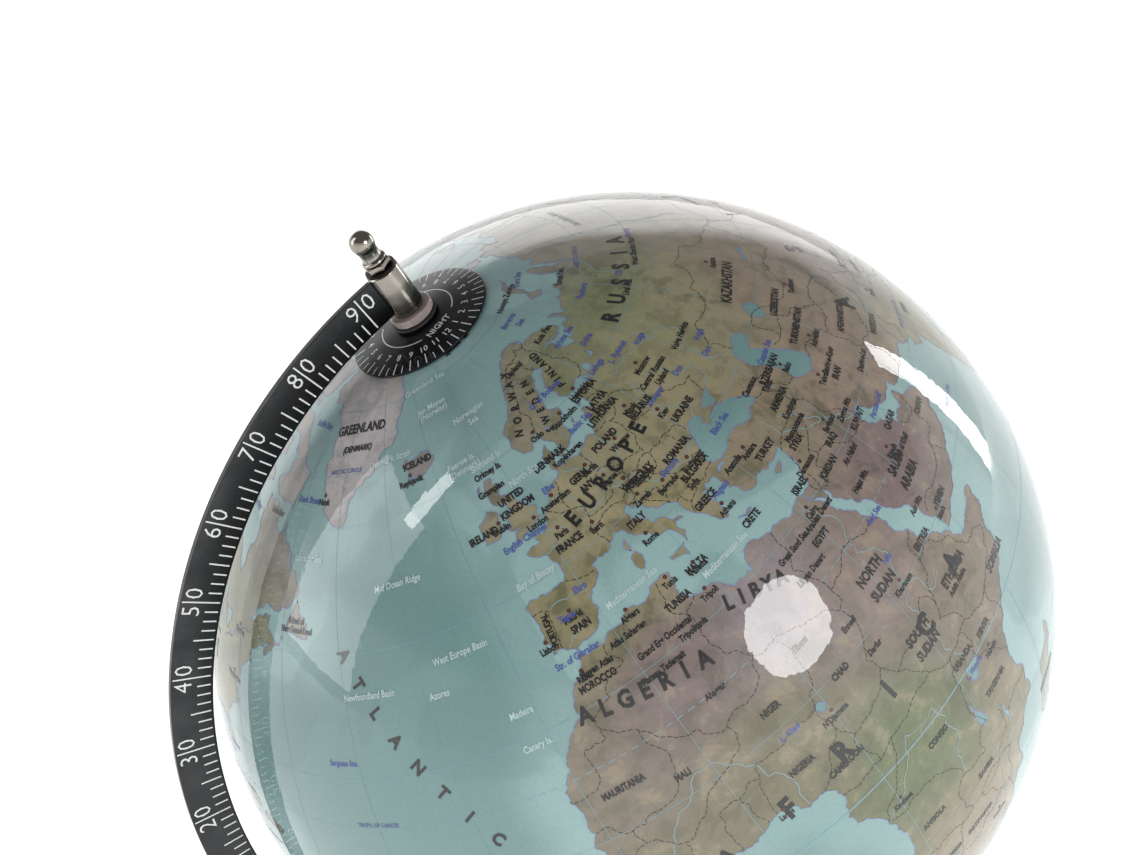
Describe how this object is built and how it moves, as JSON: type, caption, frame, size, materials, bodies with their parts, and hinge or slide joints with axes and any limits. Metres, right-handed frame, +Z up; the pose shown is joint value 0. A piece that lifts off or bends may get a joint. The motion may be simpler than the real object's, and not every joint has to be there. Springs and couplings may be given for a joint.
{
  "type": "desktop globe on stand",
  "caption": "Lacquered relief-map globe turning on a tilted axis in a flat graduated half meridian, on a turned stem and weighted round foot.",
  "frame": {"origin": "centre of the felt's underside, on the table", "axes": "+Z up; the flat meridian lies in the XZ plane, and the north pole leans towards -X"},
  "size_m": [0.3215, 0.3, 0.4374],
  "materials": {
    "felt": "dark green felt",
    "cast_iron": "raw casting",
    "satin_nickel": "satin nickel plate",
    "bright_nickel": "polished nickel plate",
    "black_nickel": "polished black nickel plate, engraved scale filled white",
    "blued_steel": "blued",
    "zinc_steel": "zinc plated",
    "clear_plastic": "clear smoky plastic",
    "black_rubber": "matte",
    "dial_black": "glossy black with white print",
    "map_lacquer": "printed paper map under gloss lacquer",
    "nylon": "natural nylon",
    "board": "grey fibreboard",
    "beech": "raw beech dowel"
  },
  "bodies": {
    "stand": {"felt_pad": "felt", "ballast": "cast_iron", "foot": "satin_nickel", "stem": "bright_nickel", "stem_bolt": "zinc_steel", "stem_bolt_washer": "zinc_steel", "meridian_saddle": "bright_nickel", "saddle_screw": "bright_nickel", "saddle_screw_washer": "satin_nickel", "saddle_cap_nut": "bright_nickel", "saddle_nut_washer": "satin_nickel", "meridian": "black_nickel", "north_pivot_pin": "zinc_steel", "north_rubber_washer": "black_rubber", "north_clear_washer": "clear_plastic", "north_pivot_barrel": "bright_nickel", "north_lock_washer": "blued_steel", "north_hex_nut": "bright_nickel", "north_finial": "bright_nickel", "south_pivot_pin": "zinc_steel", "south_rubber_washer": "black_rubber", "south_clear_washer": "clear_plastic", "south_pivot_barrel": "bright_nickel", "south_lock_washer": "blued_steel", "south_hex_nut": "bright_nickel", "south_finial": "bright_nickel"},
    "ball": {"north_hemisphere": "map_lacquer", "south_hemisphere": "map_lacquer", "north_pole_bush": "nylon", "south_pole_bush": "nylon", "equator_band": "board", "axis_spar": "beech"},
    "dial": {"time_dial": "dial_black"}
  },
  "joints": [
    {"name": "ball_spin", "type": "hinge", "parent": "stand", "child": "ball", "pos_m": [0, 0, 0.26425], "axis": [-0.3987, 0, 0.9171], "continuous": true},
    {"name": "dial_turn", "type": "hinge", "parent": "ball", "child": "dial", "pos_m": [0, 0, 0.26425], "axis": [-0.3987, 0, 0.9171], "continuous": true}
  ]
}
